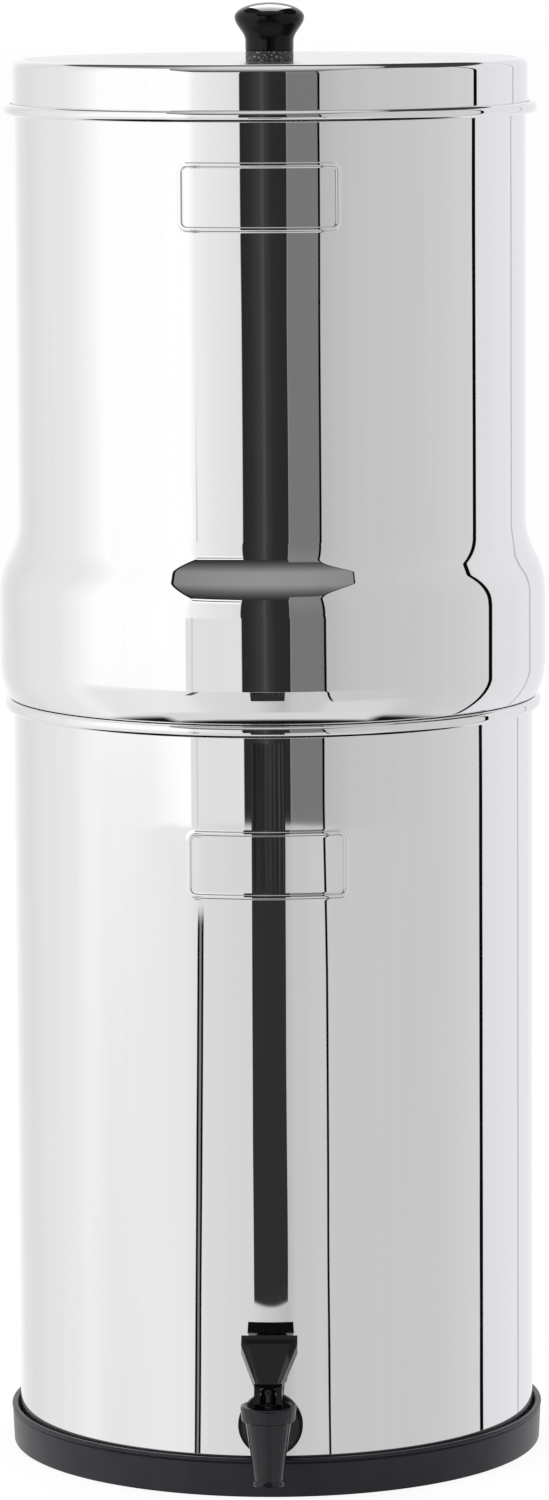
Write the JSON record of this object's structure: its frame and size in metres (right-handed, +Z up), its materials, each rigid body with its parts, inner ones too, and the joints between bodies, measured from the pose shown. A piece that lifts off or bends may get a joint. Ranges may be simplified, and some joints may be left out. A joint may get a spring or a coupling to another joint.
{
  "type": "gravity water filter",
  "caption": "Gravity water filter: two stacked polished steel chambers on a rubber base ring, with a knobbed lid and a self-closing tap at the foot.",
  "frame": {"origin": "on the chambers' axis, at the floor under the base ring", "axes": "+Z up along the chambers' axis; the tap points to -Y; +X is to the right when facing the tap"},
  "size_m": [0.2872, 0.3399, 0.762],
  "materials": {
    "polished_steel": "mirror-polished stainless steel",
    "plain_steel": "plain turned steel",
    "base_rubber": "satin moulded rubber",
    "gasket_rubber": "matt rubber",
    "washer_rubber": "finely grained rubber",
    "tap_plastic": "semi-gloss moulded plastic",
    "handle_plastic": "glossy moulded plastic",
    "knob_plastic": "high-gloss phenolic",
    "fitting_plastic": "matt moulded plastic",
    "nut_plastic": "natural nylon",
    "seat_silicone": "soft translucent silicone",
    "filter_carbon": "pressed carbon, dull and slightly pitted"
  },
  "bodies": {
    "lower_vessel": {"base_ring": "base_rubber", "lower_chamber": "polished_steel", "tap_body": "tap_plastic", "tap_outer_gasket": "gasket_rubber", "tap_inner_gasket": "gasket_rubber", "tap_nut": "nut_plastic", "tap_bonnet": "tap_plastic"},
    "stem": {"tap_stem": "tap_plastic", "tap_pin": "plain_steel", "tap_seat_cup": "seat_silicone"},
    "handle": {"tap_handle": "handle_plastic"},
    "upper_vessel": {"upper_chamber": "polished_steel", "filter_element_1": "filter_carbon", "filter_element_2": "filter_carbon", "filter_element_3": "filter_carbon", "filter_element_4": "filter_carbon", "filter_base_1": "fitting_plastic", "filter_base_2": "fitting_plastic", "filter_base_3": "fitting_plastic", "filter_base_4": "fitting_plastic", "filter_washers": "gasket_rubber", "filter_wing_nuts": "nut_plastic", "blocking_plugs": "fitting_plastic", "plug_washers": "gasket_rubber", "plug_wing_nuts": "nut_plastic"},
    "lid_assembly": {"lid": "polished_steel", "lid_knob": "knob_plastic", "knob_washer": "washer_rubber", "knob_screw": "plain_steel", "screw_washer": "plain_steel"}
  },
  "joints": [
    {"name": "stem_lift", "type": "slide", "parent": "lower_vessel", "child": "stem", "axis": [0, 0, 1], "range_m": [0, 0.004], "deforming": ["tap_seat_cup"]},
    {"name": "handle_tilt", "type": "hinge", "parent": "stem", "child": "handle", "pos_m": [0, -0.182, 0.064], "axis": [1, 0, 0], "range_deg": [0, 45], "stiffness_Nm_per_rad": 0.25},
    {"name": "upper_chamber_lift", "type": "slide", "parent": "lower_vessel", "child": "upper_vessel", "axis": [0, 0, 1], "range_m": [0, 0.12]},
    {"name": "lid_lift", "type": "slide", "parent": "upper_vessel", "child": "lid_assembly", "axis": [0, 0, 1], "range_m": [0, 0.08]}
  ],
  "couplings": [
    {"joint": "stem_lift", "follows": "handle_tilt", "m_per_rad": 0.0050929}
  ]
}
